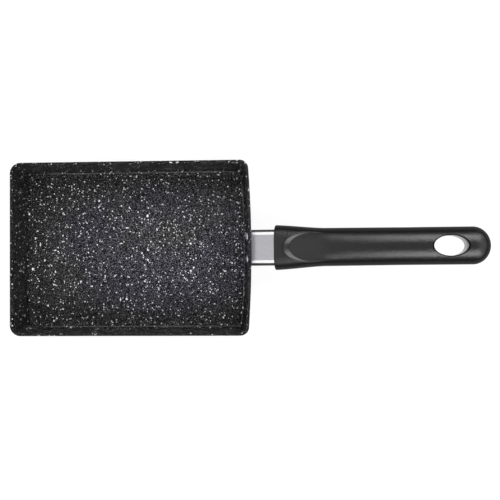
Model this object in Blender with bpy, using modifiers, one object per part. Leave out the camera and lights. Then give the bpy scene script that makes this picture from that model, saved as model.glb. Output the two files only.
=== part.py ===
"""Rectangular omelette pan with a steel sleeve and a moulded handle, at real size.

Metres, +Z up. The origin is on the surface the pan stands on, at the middle of the
pan's length and width. +X runs from the pan along the handle.
"""

import math

import bmesh
import bpy
from mathutils import Matrix, Vector

# Pan, measured over the outside of the rim
PAN_LENGTH = 0.1800
PAN_WIDTH = 0.1305
PAN_HEIGHT = 0.0350
RIM_BOW = 0.0025
SHEET = 0.0024
FLARE_SIDE = 0.0020
FLARE_END = 0.0042
RIM_CORNER_NEAR = 0.0060
RIM_CORNER_FAR = 0.0081
FOOT_CORNER_NEAR = 0.0096
FOOT_CORNER_FAR = 0.0120
FOOT_RADIUS = 0.0072
RIM_ROUNDING = 0.0007
RIM_TRIM = 0.0012
PAD_STEP = 0.0007
PAD_MARGIN = 0.0035
PAD_CHAMFER = 0.0004

# Where the handle leaves the wall
ATTACH_HEIGHT = 0.0210
HANDLE_RISE = math.radians(8.0)

# Clearance between pieces that touch, and how far a joined solid laps its neighbour
FIT = 0.0003
LAP = 0.0005

# Rivets
RIVET_SPACING = 0.0166
RIVET_UP = 0.0015
RIVET_RADIUS = 0.0020
RIVET_HEAD_RADIUS = 0.0032
RIVET_HEAD_HEIGHT = 0.0013
RIVET_TAIL_RADIUS = 0.0027
RIVET_TAIL_HEIGHT = 0.0012

# Bracket, a bent strip
STRIP = 0.0020
STRIP_WIDTH = 0.0230
STRIP_BEND = 0.0022
FLANGE_TOP = 0.0062
TONGUE_DROP = 0.0034
TONGUE_REACH = 0.0420
SCREW_FROM_TONGUE_END = 0.0075

# Sleeve
SLEEVE_WIDTH = 0.0267
SLEEVE_HEIGHT = 0.0165
SLEEVE_CORNER = 0.0038
SLEEVE_SHEET = 0.0007
SLEEVE_SHOWN = 0.0196
SLEEVE_HIDDEN = 0.0030

# Handle, measured along its own line from its front face
HANDLE_LENGTH = 0.1572
STRAIGHT_LENGTH = 0.0500
END_RISE = math.radians(1.5)
FRONT_HALF_WIDTH = 0.0168
BAR_HALF_WIDTH = 0.0144
BAR_NARROWING = 0.0006
BAR_NARROWED_AT = 0.0950
COLLAR_LENGTH = 0.0360
BAR_TOP = 0.0102
BAR_BOTTOM = 0.0086
FRONT_BOTTOM = 0.0116
BELLY_LENGTH = 0.0620
END_CAP = 0.0130
FRONT_ROUNDING = 0.0005
FRONT_SQUARENESS = 2.8
BAR_SQUARENESS = 2.15
ROUND_FROM = 0.0600

# Thumb rest, an oval scooped into the handle's top: deepest at its nose, running out along the bar
THUMB_CENTRE = 0.0283
THUMB_NOSE = 0.0170
THUMB_REACH = 0.0300
THUMB_HALF_WIDTH = 0.0102
THUMB_DEPTH = 0.0020
THUMB_RUN_OUT = 0.0400
THUMB_SLOPE_NOSE = 0.0045
THUMB_SLOPE_SIDE = 0.0008

# Hang hole
HOLE_FROM_END = 0.0288
HOLE_HALF_LENGTH = 0.01225
HOLE_HALF_WIDTH = 0.0074
HOLE_EDGE = 0.0006
HOLE_LEAN = math.radians(5.0)

# Screw, nut and washers
SCREW_RADIUS = 0.0020
SCREW_HEAD_RADIUS = 0.0039
SCREW_HEAD_HEIGHT = 0.0024
SCREW_PAST_NUT = 0.0008
NUT_ACROSS_FLATS = 0.0070
NUT_HEIGHT = 0.0032
FLAT_WASHER_RADIUS = 0.0045
FLAT_WASHER = 0.0008
SPRING_WASHER_RADIUS = 0.0038
SPRING_WASHER = 0.0010
SPRING_SPLIT = 0.0008
SEAT_WALL = 0.0020

# How finely curves are cut
CORNER_STEPS = 7
BOW_STEPS = 12
FOOT_STEPS = 7
SECTION_POINTS = 44
COLLAR_STEPS = 16
FINE_UNTIL = 0.0425
BAR_STEPS = 12
CAP_STEPS = 8
TURN_STEPS = 28

MATERIALS = {
    "granite_coating": ((0.035, 0.035, 0.038), 0.55, 0.0),
    "brushed_stainless": ((0.62, 0.62, 0.64), 0.32, 1.0),
    "black_moulding": ((0.022, 0.022, 0.023), 0.42, 0.0),
    "zinc_steel": ((0.52, 0.53, 0.55), 0.38, 1.0),
    "dark_rivet": ((0.16, 0.16, 0.165), 0.45, 1.0),
}


# Scene helpers


def clear_scene():
    for obj in list(bpy.data.objects):
        bpy.data.objects.remove(obj, do_unlink=True)


def new_collection(name):
    collection = bpy.data.collections.new(name)
    bpy.context.scene.collection.children.link(collection)
    return collection


def material(name):
    colour, roughness, metallic = MATERIALS[name]
    made = bpy.data.materials.get(name)
    if made is None:
        made = bpy.data.materials.new(name)
        made.use_nodes = True
        shader = made.node_tree.nodes["Principled BSDF"]
        shader.inputs["Base Color"].default_value = (*colour, 1.0)
        shader.inputs["Roughness"].default_value = roughness
        shader.inputs["Metallic"].default_value = metallic
        made.diffuse_color = (*colour, 1.0)
    return made


def object_from(mesh, name, collection, matrix=None):
    obj = bpy.data.objects.new(name, mesh)
    collection.objects.link(obj)
    if matrix is not None:
        obj.matrix_world = matrix
    return obj


def as_cutter(obj):
    obj.hide_render = True
    obj.display_type = "WIRE"
    return obj


def boolean(target, operation, other):
    modifier = target.modifiers.new(f"{operation.lower()} {other.name}", "BOOLEAN")
    modifier.operation = operation
    modifier.solver = "EXACT"
    modifier.object = other


def bevel(obj, width, segments, angle=math.radians(50)):
    modifier = obj.modifiers.new("rounded edges", "BEVEL")
    modifier.width = width
    modifier.segments = segments
    modifier.limit_method = "ANGLE"
    modifier.angle_limit = angle


def finish(obj, material_name):
    obj.data.materials.clear()
    obj.data.materials.append(material(material_name))


def shade_round(mesh):
    """Smooth shading that still breaks at the mesh's sharp edges."""
    for polygon in mesh.polygons:
        polygon.use_smooth = True
    mesh.set_sharp_from_angle(angle=math.radians(50))


# Shape helpers


def loft(name, rings, collection, matrix=None, closed_top=True):
    """Skin a stack of rings that have the same number of points, with flat ends."""
    bm = bmesh.new()
    loops = [[bm.verts.new(point) for point in ring] for ring in rings]
    count = len(loops[0])
    for lower, upper in zip(loops, loops[1:]):
        for i in range(count):
            j = (i + 1) % count
            bm.faces.new((lower[i], lower[j], upper[j], upper[i]))
    bm.faces.new(list(reversed(loops[0])))
    if closed_top:
        bm.faces.new(loops[-1])
    bmesh.ops.recalc_face_normals(bm, faces=bm.faces)
    mesh = bpy.data.meshes.new(name)
    bm.to_mesh(mesh)
    bm.free()
    shade_round(mesh)
    return object_from(mesh, name, collection, matrix)


def plate(name, outlines, thickness, collection, matrix):
    """Fill flat outlines, holes included, and give them a thickness about their plane."""
    curve = bpy.data.curves.new(name, "CURVE")
    curve.dimensions = "2D"
    curve.fill_mode = "BOTH"
    curve.extrude = thickness / 2
    for outline in outlines:
        spline = curve.splines.new("POLY")
        spline.points.add(len(outline) - 1)
        for point, (x, y) in zip(spline.points, outline):
            point.co = (x, y, 0.0, 1.0)
        spline.use_cyclic_u = True
    drawn = object_from(curve, name + "_drawn", collection)
    graph = bpy.context.evaluated_depsgraph_get()
    mesh = bpy.data.meshes.new_from_object(drawn.evaluated_get(graph))
    bpy.data.objects.remove(drawn)
    bm = bmesh.new()
    bm.from_mesh(mesh)
    bmesh.ops.remove_doubles(bm, verts=bm.verts, dist=0.000001)
    bmesh.ops.recalc_face_normals(bm, faces=bm.faces)
    bm.to_mesh(mesh)
    bm.free()
    mesh.name = name
    return object_from(mesh, name, collection, matrix)


def turned(name, profile, collection, matrix, ring=False):
    """Turn a profile of (radius, height) points about Z. A ring's profile is closed."""
    mesh = bpy.data.meshes.new(name)
    verts = [(radius, 0.0, height) for radius, height in profile]
    edges = [(i, i + 1) for i in range(len(verts) - 1)]
    if ring:
        edges.append((len(verts) - 1, 0))
    mesh.from_pydata(verts, edges, [])
    obj = object_from(mesh, name, collection, matrix)
    screw = obj.modifiers.new("turned", "SCREW")
    screw.steps = TURN_STEPS
    screw.render_steps = TURN_STEPS
    screw.use_merge_vertices = True
    screw.merge_threshold = 0.00001
    screw.use_smooth_shade = True
    return obj


def rod(name, radius, length, collection, matrix, sides=TURN_STEPS):
    """A cylinder that starts at the matrix's origin and runs along its Z."""
    bm = bmesh.new()
    bmesh.ops.create_cone(
        bm,
        cap_ends=True,
        segments=sides,
        radius1=radius,
        radius2=radius,
        depth=length,
        matrix=Matrix.Translation((0.0, 0.0, length / 2)),
    )
    mesh = bpy.data.meshes.new(name)
    bm.to_mesh(mesh)
    bm.free()
    return object_from(mesh, name, collection, matrix)


def block(name, low, high, collection, matrix):
    """A box between two corners."""
    low = Vector(low)
    high = Vector(high)
    size = high - low
    place = Matrix.Translation((low + high) / 2) @ Matrix.Diagonal((*size, 1.0))
    bm = bmesh.new()
    bmesh.ops.create_cube(bm, size=1.0, matrix=place)
    mesh = bpy.data.meshes.new(name)
    bm.to_mesh(mesh)
    bm.free()
    return object_from(mesh, name, collection, matrix)


def rounded_rectangle(width, height, radius, steps=6):
    points = []
    corners = [(1, -1, -90), (1, 1, 0), (-1, 1, 90), (-1, -1, 180)]
    for side_x, side_y, start in corners:
        centre_x = side_x * (width / 2 - radius)
        centre_y = side_y * (height / 2 - radius)
        for i in range(steps + 1):
            angle = math.radians(start + 90 * i / steps)
            x = centre_x + radius * math.cos(angle)
            y = centre_y + radius * math.sin(angle)
            points.append((x, y))
    return points


def smooth_step(value):
    value = min(max(value, 0.0), 1.0)
    return value * value * (3 - 2 * value)


# Places


def wall_slope():
    """How far the near wall leans out for each metre of height."""
    return FLARE_END / (PAN_HEIGHT - PAD_STEP)


def wall_x(height):
    """The outer face of the near wall on the centre line."""
    rim = PAN_LENGTH / 2 + RIM_BOW
    return rim - wall_slope() * (PAN_HEIGHT - height)


def wall_frame():
    """Origin on the wall's outer face where the handle's line leaves it, Z out of the wall, Y up it."""
    lean = math.atan(wall_slope())
    out = Vector((math.cos(lean), 0.0, -math.sin(lean)))
    up = Vector((math.sin(lean), 0.0, math.cos(lean)))
    across = up.cross(out)
    turn = Matrix((across, up, out)).transposed().to_4x4()
    return Matrix.Translation((wall_x(ATTACH_HEIGHT), 0.0, ATTACH_HEIGHT)) @ turn


def handle_frame():
    """Origin as in wall_frame, X along the handle's line, Z square to it and up."""
    place = Matrix.Translation((wall_x(ATTACH_HEIGHT), 0.0, ATTACH_HEIGHT))
    return place @ Matrix.Rotation(-HANDLE_RISE, 4, "Y")


def along_handle():
    """A frame whose Z runs along the handle's line, X across the pan and Y up."""
    turn = Matrix(((0, 0, 1, 0), (1, 0, 0, 0), (0, 1, 0, 0), (0, 0, 0, 1)))
    return handle_frame() @ turn


def spine(distance):
    """Point and rise angle of the handle's middle line, from its front face."""
    start = handle_frame() @ Vector((SLEEVE_SHOWN, 0.0, 0.0))
    x, z = start.x, start.z
    steps = 48
    angle = HANDLE_RISE
    for i in range(steps):
        middle = distance * (i + 0.5) / steps
        bend = (middle - STRAIGHT_LENGTH) / (HANDLE_LENGTH - STRAIGHT_LENGTH)
        angle = HANDLE_RISE + (END_RISE - HANDLE_RISE) * min(max(bend, 0.0), 1.0)
        x += math.cos(angle) * distance / steps
        z += math.sin(angle) * distance / steps
    return x, z, angle


# Pan


def pan_outline(height, inset, corner_inset=0.0):
    """The pan's outer outline at a height above the base sheet, drawn in by an inset."""
    rise = height / (PAN_HEIGHT - PAD_STEP)
    foot = foot_inset(height)
    end = PAN_LENGTH / 2 - FLARE_END * (1 - rise) - inset - foot
    half = PAN_WIDTH / 2 - FLARE_SIDE * (1 - rise) - inset - foot
    near_corner = FOOT_CORNER_NEAR + (RIM_CORNER_NEAR - FOOT_CORNER_NEAR) * rise
    far_corner = FOOT_CORNER_FAR + (RIM_CORNER_FAR - FOOT_CORNER_FAR) * rise
    near_corner -= corner_inset + 0.9 * foot
    far_corner -= corner_inset + 0.9 * foot
    points = []
    corners = [
        (end, -half, near_corner, -90),
        (end, half, near_corner, 0),
        (-end, half, far_corner, 90),
        (-end, -half, far_corner, 180),
    ]
    for x, y, radius, start in corners:
        centre_x = x - math.copysign(radius, x)
        centre_y = y - math.copysign(radius, y)
        for i in range(CORNER_STEPS + 1):
            angle = math.radians(start + 90 * i / CORNER_STEPS)
            points.append((centre_x + radius * math.cos(angle), centre_y + radius * math.sin(angle)))
        if x > 0 and y < 0:
            run = 2 * (half - near_corner)
            for i in range(1, BOW_STEPS):
                points.append((end, -run / 2 + run * i / BOW_STEPS))
    bowed = []
    for x, y in points:
        if x > 0:
            x += RIM_BOW * (1 - (y / half) ** 2)
        bowed.append((x, y))
    return bowed


def foot_inset(height):
    """How far the rounded foot draws the wall in at this height."""
    if height >= FOOT_RADIUS:
        return 0.0
    return FOOT_RADIUS - math.sqrt(FOOT_RADIUS**2 - (FOOT_RADIUS - height) ** 2)


def make_pan_body(parts, cutters):
    rings = []
    for i in range(FOOT_STEPS + 1):
        height = FOOT_RADIUS * (1 - math.cos(math.radians(90 * i / FOOT_STEPS)))
        outline = pan_outline(height, 0.0)
        rings.append([(x, y, PAD_STEP + height) for x, y in outline])
    above = PAN_HEIGHT - PAD_STEP + RIM_TRIM
    rings.append([(x, y, PAD_STEP + above) for x, y in pan_outline(above, 0.0)])
    body = loft("pan_body", rings, parts, closed_top=False)
    shell = body.modifiers.new("sheet", "SOLIDIFY")
    shell.thickness = SHEET
    shell.offset = -1.0
    shell.use_even_offset = True
    boolean(body, "DIFFERENCE", make_rim_trim(cutters))
    bevel(body, RIM_ROUNDING, 2)
    boolean(body, "UNION", make_base_pad(cutters))
    for side in (-1, 1):
        boolean(body, "DIFFERENCE", rivet_hole(f"wall_rivet_hole_{side}", side, cutters))
    finish(body, "granite_coating")
    return body


def make_rim_trim(cutters):
    """A block above the pan that leaves its rim flat at the pan's height."""
    low = (-PAN_LENGTH, -PAN_WIDTH, PAN_HEIGHT)
    high = (PAN_LENGTH, PAN_WIDTH, PAN_HEIGHT + 4 * RIM_TRIM)
    return as_cutter(block("rim_trim", low, high, cutters, Matrix()))


def make_base_pad(cutters):
    foot = pan_outline(0.0, PAD_MARGIN, PAD_MARGIN * 0.5)
    edge = pan_outline(0.0, PAD_MARGIN + PAD_CHAMFER, PAD_MARGIN * 0.5)
    rings = [
        [(x, y, 0.0) for x, y in edge],
        [(x, y, PAD_CHAMFER) for x, y in foot],
        [(x, y, PAD_STEP + SHEET / 2) for x, y in foot],
    ]
    return as_cutter(loft("base_pad", rings, cutters))


# Bracket and rivets


def rivet_place(side):
    return wall_frame() @ Matrix.Translation((side * RIVET_SPACING / 2, RIVET_UP, 0.0))


def rivet_hole(name, side, cutters):
    length = 4 * (SHEET + STRIP)
    place = rivet_place(side) @ Matrix.Translation((0.0, 0.0, -length / 2))
    return as_cutter(rod(name, RIVET_RADIUS + FIT, length, cutters, place))


def make_rivet(name, side, parts):
    """One turned rivet: domed head in the pan, shank, and the set tail behind the bracket."""
    head = -SHEET - FIT
    tail = FIT + STRIP + FIT
    profile = [(0.0, tail + RIVET_TAIL_HEIGHT)]
    profile.append((RIVET_TAIL_RADIUS * 0.75, tail + RIVET_TAIL_HEIGHT))
    profile.append((RIVET_TAIL_RADIUS, tail + RIVET_TAIL_HEIGHT * 0.6))
    profile.append((RIVET_TAIL_RADIUS, tail))
    profile.append((RIVET_RADIUS, tail))
    profile.append((RIVET_RADIUS, head))
    for i in range(6):
        angle = math.radians(90 * i / 5)
        radius = RIVET_HEAD_RADIUS * math.cos(angle)
        profile.append((radius, head - RIVET_HEAD_HEIGHT * math.sin(angle)))
    profile[-1] = (0.0, head - RIVET_HEAD_HEIGHT)
    rivet = turned(name, profile, parts, rivet_place(side))
    finish(rivet, "dark_rivet")
    return rivet


def bracket_path():
    """Middle line of the bent strip in the handle's frame: up the flange, then along the tongue."""
    lean = math.atan(wall_slope()) + HANDLE_RISE
    up = Vector((math.sin(lean), math.cos(lean)))
    start = Vector(((FIT + STRIP / 2) / math.cos(lean), 0.0))
    corner_z = -TONGUE_DROP
    corner = start + up * (corner_z / up.y)
    top = start + up * (FLANGE_TOP / up.y)
    turn = math.pi / 2 - lean
    back = STRIP_BEND * math.tan(turn / 2)
    points = [top]
    first = corner + up * back
    last = corner + Vector((back, 0.0))
    for i in range(7):
        t = i / 6
        points.append(first * (1 - t) ** 2 + corner * 2 * t * (1 - t) + last * t**2)
    points.append(Vector((TONGUE_REACH, corner_z)))
    return points


def make_handle_bracket(parts, cutters):
    bm = bmesh.new()
    path = [bm.verts.new((point.x, -STRIP_WIDTH / 2, point.y)) for point in bracket_path()]
    edges = [bm.edges.new(pair) for pair in zip(path, path[1:])]
    swept = bmesh.ops.extrude_edge_only(bm, edges=edges)
    moved = [item for item in swept["geom"] if isinstance(item, bmesh.types.BMVert)]
    bmesh.ops.translate(bm, verts=moved, vec=(0.0, STRIP_WIDTH, 0.0))
    bmesh.ops.recalc_face_normals(bm, faces=bm.faces)
    mesh = bpy.data.meshes.new("handle_bracket")
    bm.to_mesh(mesh)
    bm.free()
    bracket = object_from(mesh, "handle_bracket", parts, handle_frame())
    sheet = bracket.modifiers.new("sheet", "SOLIDIFY")
    sheet.thickness = STRIP
    sheet.offset = 0.0
    sheet.use_even_offset = True
    for side in (-1, 1):
        hole = rivet_hole(f"bracket_rivet_hole_{side}", side, cutters)
        boolean(bracket, "DIFFERENCE", hole)
    boolean(bracket, "DIFFERENCE", screw_bore("tongue_screw_hole", cutters))
    finish(bracket, "zinc_steel")
    return bracket


# Screw, nut and washers, all on one line square to the tongue


def screw_place(height):
    along = TONGUE_REACH - SCREW_FROM_TONGUE_END
    return handle_frame() @ Matrix.Translation((along, 0.0, height))


def tongue_top():
    return -TONGUE_DROP + STRIP / 2


def tongue_bottom():
    return -TONGUE_DROP - STRIP / 2


def seat_height():
    """The face in the handle that the flat washer presses on."""
    return tongue_bottom() - FIT - SEAT_WALL


def screw_bore(name, cutters):
    depth = SEAT_WALL + STRIP + 4 * FIT
    place = screw_place(seat_height() - FIT)
    return as_cutter(rod(name, SCREW_RADIUS + FIT, depth, cutters, place))


def head_seat():
    """The height where the screw's head bears, below both washers."""
    return seat_height() - FIT - FLAT_WASHER - FIT - SPRING_WASHER - FIT


def make_bracket_nut(parts, cutters):
    across_corners = NUT_ACROSS_FLATS / math.cos(math.radians(30))
    place = screw_place(tongue_top() + FIT)
    nut = rod("bracket_nut", across_corners / 2, NUT_HEIGHT, parts, place, sides=6)
    through = screw_place(tongue_top() - FIT)
    bore = rod("nut_bore", SCREW_RADIUS + FIT, 2 * NUT_HEIGHT, cutters, through)
    boolean(nut, "DIFFERENCE", as_cutter(bore))
    finish(nut, "zinc_steel")
    return nut


def make_handle_screw(parts):
    top = tongue_top() + FIT + NUT_HEIGHT + SCREW_PAST_NUT
    seat = head_seat()
    point = SCREW_RADIUS * 0.3
    profile = [(0.0, top), (SCREW_RADIUS - point, top), (SCREW_RADIUS, top - point)]
    profile.append((SCREW_RADIUS, seat))
    profile.append((SCREW_HEAD_RADIUS, seat))
    profile.append((SCREW_HEAD_RADIUS, seat - SCREW_HEAD_HEIGHT * 0.55))
    profile.append((SCREW_HEAD_RADIUS * 0.86, seat - SCREW_HEAD_HEIGHT * 0.85))
    profile.append((SCREW_HEAD_RADIUS * 0.55, seat - SCREW_HEAD_HEIGHT))
    profile.append((0.0, seat - SCREW_HEAD_HEIGHT))
    screw = turned("handle_screw", profile, parts, screw_place(0.0))
    finish(screw, "zinc_steel")
    return screw


def washer(name, radius, thickness, top, parts):
    inner = SCREW_RADIUS + FIT
    profile = [(inner, top), (radius, top), (radius, top - thickness), (inner, top - thickness)]
    made = turned(name, profile, parts, screw_place(0.0), ring=True)
    finish(made, "zinc_steel")
    return made


def make_washers(parts, cutters):
    washer("flat_washer", FLAT_WASHER_RADIUS, FLAT_WASHER, seat_height() - FIT, parts)
    top = seat_height() - FIT - FLAT_WASHER - FIT
    spring = washer("spring_washer", SPRING_WASHER_RADIUS, SPRING_WASHER, top, parts)
    slant = Matrix.Rotation(math.radians(25), 4, "Y")
    place = screw_place(top - SPRING_WASHER / 2) @ slant
    low = (-SPRING_SPLIT / 2, 0.0, -2 * SPRING_WASHER)
    high = (SPRING_SPLIT / 2, 2 * SPRING_WASHER_RADIUS, 2 * SPRING_WASHER)
    split = block("spring_split", low, high, cutters, place)
    boolean(spring, "DIFFERENCE", as_cutter(split))


# Sleeve


def make_sleeve(parts, cutters):
    length = SLEEVE_SHOWN + SLEEVE_HIDDEN
    behind = SLEEVE_HEIGHT / 2
    outer = rounded_rectangle(SLEEVE_WIDTH, SLEEVE_HEIGHT, SLEEVE_CORNER)
    inner = rounded_rectangle(
        SLEEVE_WIDTH - 2 * SLEEVE_SHEET,
        SLEEVE_HEIGHT - 2 * SLEEVE_SHEET,
        SLEEVE_CORNER - SLEEVE_SHEET,
    )
    middle = (length - behind) / 2
    place = along_handle() @ Matrix.Translation((0.0, 0.0, middle))
    sleeve = plate("sleeve", [outer, inner], length + behind, parts, place)
    reach = SLEEVE_WIDTH
    trim = block("wall_trim", (-reach, -reach, -reach), (reach, reach, FIT), cutters, wall_frame())
    boolean(sleeve, "DIFFERENCE", as_cutter(trim))
    finish(sleeve, "brushed_stainless")
    return sleeve


# Handle


def half_width(distance):
    """Half the handle's width, swelling towards its front face."""
    bar = BAR_HALF_WIDTH - BAR_NARROWING * min(distance / BAR_NARROWED_AT, 1.0)
    gone = min(distance / COLLAR_LENGTH, 1.0)
    left = 1 - (gone + smooth_step(gone)) / 2
    return bar + (FRONT_HALF_WIDTH - BAR_HALF_WIDTH) * left


def belly(distance):
    """Depth of the handle below its middle line."""
    return BAR_BOTTOM + (FRONT_BOTTOM - BAR_BOTTOM) * (1 - smooth_step(distance / BELLY_LENGTH))


def squareness(distance):
    """How boxy the section is: more so at the front face, nearly oval along the bar."""
    left = 1 - min(distance / ROUND_FROM, 1.0)
    return BAR_SQUARENESS + (FRONT_SQUARENESS - BAR_SQUARENESS) * left


def section(distance, inset=0.0, dip=0.0, shrink=1.0):
    """A ring of points square to the handle's middle line."""
    x, z, angle = spine(distance)
    power = squareness(distance)
    width = half_width(distance) * shrink - inset
    top = BAR_TOP * shrink**0.8 - inset - dip
    bottom = belly(distance) * shrink**0.8 - inset
    ring = []
    for i in range(SECTION_POINTS):
        turn = 2 * math.pi * i / SECTION_POINTS
        across = math.copysign(abs(math.cos(turn)) ** (2 / power), math.cos(turn)) * width
        up = math.copysign(abs(math.sin(turn)) ** (2 / power), math.sin(turn))
        up *= top if up > 0 else bottom
        ring.append((x - up * math.sin(angle), across, z + up * math.cos(angle)))
    return ring


def end_shrink(distance):
    """Scale of the section inside the rounded end."""
    into = (distance - (HANDLE_LENGTH - END_CAP)) / END_CAP
    if into <= 0:
        return 1.0
    return math.sqrt(max(1 - into**2, 0.0))


def grip_rings():
    rings = [section(0.0, FRONT_ROUNDING), section(0.3 * FRONT_ROUNDING, 0.3 * FRONT_ROUNDING)]
    run = HANDLE_LENGTH - END_CAP
    collar_run = FINE_UNTIL - FRONT_ROUNDING
    stations = [FRONT_ROUNDING + collar_run * i / COLLAR_STEPS for i in range(COLLAR_STEPS + 1)]
    bar_run = run - FINE_UNTIL
    stations += [FINE_UNTIL + bar_run * i / BAR_STEPS for i in range(1, BAR_STEPS + 1)]
    for i in range(1, CAP_STEPS + 1):
        stations.append(run + END_CAP * math.sin(math.radians(88.5 * i / CAP_STEPS)))
    return rings + [section(distance, shrink=end_shrink(distance)) for distance in stations]


def thumb_dip(distance):
    """How far the thumb rest's floor lies under the handle's top, negative past the run-out."""
    nose = THUMB_CENTRE - THUMB_NOSE
    return THUMB_DEPTH * (THUMB_RUN_OUT - distance) / (THUMB_RUN_OUT - nose)


def ellipse(half_length, half_width, count=56):
    points = []
    for i in range(count):
        angle = 2 * math.pi * (i + 0.5) / count
        points.append((half_length * math.cos(angle), half_width * math.sin(angle)))
    return points


def thumb_cutter(cutters):
    """A bowl: its bottom is the thumb rest's floor, and its wall slopes up through the handle's top."""
    rings = [thumb_ring(scale, 0.0) for scale in (0.1, 0.35, 0.7, 1.0)]
    rings += [thumb_ring(1.0, wall) for wall in (1.0, 2.0)]
    rings.append([(x, y, z + 2 * BAR_TOP) for x, y, z in rings[-1]])
    return as_cutter(loft("thumb_cutter", rings, cutters))


def thumb_ring(scale, wall):
    """A ring of the bowl: on its floor, or up its wall, where 1 is on the handle's skin."""
    ring = []
    for x, y in ellipse(1.0, 1.0):
        towards_nose = max(-x, 0.0) ** 1.5
        slope = THUMB_SLOPE_SIDE + (THUMB_SLOPE_NOSE - THUMB_SLOPE_SIDE) * towards_nose
        x *= THUMB_NOSE if x < 0 else THUMB_REACH
        y *= THUMB_HALF_WIDTH
        grown = scale + wall * slope / math.hypot(x, y)
        distance = THUMB_CENTRE + x * grown
        middle, height, angle = spine(distance)
        dip = thumb_dip(distance)
        skin = skin_height(distance, y * grown, 1)
        floor = skin * (1 - dip / BAR_TOP)
        up = max(floor, skin + (wall - 1) * dip) if wall else floor
        ring.append((middle - up * math.sin(angle), y * grown, height + up * math.cos(angle)))
    return ring


def skin_height(distance, across, side):
    """How far the handle's upper (1) or lower (0) skin is from the middle line's level, beside it."""
    power = squareness(distance)
    share = min(abs(across) / half_width(distance), 1.0)
    fall = (1 - share**power) ** (1 / power)
    return BAR_TOP * fall if side else -belly(distance) * fall


def hole_cutter(cutters):
    """An oval that leans a little and widens where it meets the handle's skin, above and below."""
    steps = [(-4.0, 1.0), (0.0, 1.0), (0.45, 0.35), (1.0, 0.0)]
    rings = []
    for depth, widen in steps:
        rings.append(hole_ring(widen * HOLE_EDGE, depth * HOLE_EDGE, 0))
    for depth, widen in reversed(steps):
        rings.append(hole_ring(widen * HOLE_EDGE, depth * HOLE_EDGE, 1))
    return as_cutter(loft("hang_hole_cutter", rings, cutters))


def hole_ring(widen, depth, side):
    distance = HANDLE_LENGTH - HOLE_FROM_END
    centre, middle, rise = spine(distance)
    ring = []
    for x, y in ellipse(HOLE_HALF_LENGTH + widen, HOLE_HALF_WIDTH + widen):
        height = spine(distance + x)[1] + skin_height(distance + x, y, side)
        height += -depth if side else depth
        lean = (height - middle - BAR_TOP) * math.tan(HOLE_LEAN)
        ring.append((centre + x + lean, y, height))
    return ring


def make_handle_grip(parts, cutters):
    grip = loft("handle_grip", grip_rings(), parts)
    boolean(grip, "DIFFERENCE", thumb_cutter(cutters))
    for cutter in handle_pockets(cutters):
        boolean(grip, "DIFFERENCE", cutter)
    boolean(grip, "DIFFERENCE", hole_cutter(cutters))
    finish(grip, "black_moulding")
    return grip


def handle_pockets(cutters):
    """What the handle is hollowed for: the sleeve's end, the tongue with its nut, and the screw."""
    recess_depth = SLEEVE_HIDDEN + FIT
    recess = rounded_rectangle(
        SLEEVE_WIDTH + 2 * FIT,
        SLEEVE_HEIGHT + 2 * FIT,
        SLEEVE_CORNER + FIT,
    )
    place = along_handle() @ Matrix.Translation((0.0, 0.0, SLEEVE_SHOWN))
    yield as_cutter(plate("sleeve_recess", [recess], 2 * recess_depth, cutters, place))
    low = (SLEEVE_SHOWN, -STRIP_WIDTH / 2 - FIT, tongue_bottom() - FIT)
    nut_top = tongue_top() + FIT + NUT_HEIGHT + SCREW_PAST_NUT + FIT
    high = (TONGUE_REACH + FIT, STRIP_WIDTH / 2 + FIT, nut_top)
    yield as_cutter(block("tongue_pocket", low, high, cutters, handle_frame()))
    yield screw_bore("grip_screw_bore", cutters)
    deep = 2 * FRONT_BOTTOM
    place = screw_place(seat_height() - deep)
    yield as_cutter(rod("screw_counterbore", FLAT_WASHER_RADIUS + FIT, deep, cutters, place))


def main():
    clear_scene()
    parts = new_collection("omelette_pan")
    cutters = new_collection("cutters")
    make_pan_body(parts, cutters)
    make_rivet("bracket_rivet_left", -1, parts)
    make_rivet("bracket_rivet_right", 1, parts)
    make_handle_bracket(parts, cutters)
    make_sleeve(parts, cutters)
    make_bracket_nut(parts, cutters)
    make_handle_screw(parts)
    make_washers(parts, cutters)
    make_handle_grip(parts, cutters)


main()
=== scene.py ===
"""Looks of the rectangular omelette pan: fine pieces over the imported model, finishes, light and camera."""

import math

import bmesh
import bpy
from mathutils import Matrix, Vector


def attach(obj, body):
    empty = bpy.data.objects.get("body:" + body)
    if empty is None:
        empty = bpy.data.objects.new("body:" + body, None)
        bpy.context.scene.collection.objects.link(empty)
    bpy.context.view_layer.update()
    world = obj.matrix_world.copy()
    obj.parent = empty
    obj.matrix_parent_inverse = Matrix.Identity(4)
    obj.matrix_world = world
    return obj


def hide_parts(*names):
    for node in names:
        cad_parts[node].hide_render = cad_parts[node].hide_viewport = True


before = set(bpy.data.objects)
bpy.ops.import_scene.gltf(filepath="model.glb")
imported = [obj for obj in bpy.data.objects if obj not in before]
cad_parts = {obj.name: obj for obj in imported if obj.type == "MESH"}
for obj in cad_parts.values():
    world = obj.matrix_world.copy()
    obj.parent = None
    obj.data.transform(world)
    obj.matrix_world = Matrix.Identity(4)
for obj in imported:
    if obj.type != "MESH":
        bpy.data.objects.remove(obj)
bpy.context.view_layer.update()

# Pan, over the outside of the rim
PAN_LENGTH = 0.1800
PAN_WIDTH = 0.1305
PAN_HEIGHT = 0.0350
RIM_BOW = 0.0025
SHEET = 0.0024
FLARE_SIDE = 0.0020
FLARE_END = 0.0042
RIM_CORNER_NEAR = 0.0060
RIM_CORNER_FAR = 0.0081
FOOT_CORNER_NEAR = 0.0096
FOOT_CORNER_FAR = 0.0120
FOOT_RADIUS = 0.0072
LEAST_CORNER = 0.0004
RIM_ROUNDING = 0.0007
PAD_STEP = 0.0007
PAD_MARGIN = 0.0035
PAD_CHAMFER = 0.0004
WALL_RISE = PAN_HEIGHT - PAD_STEP

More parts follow.
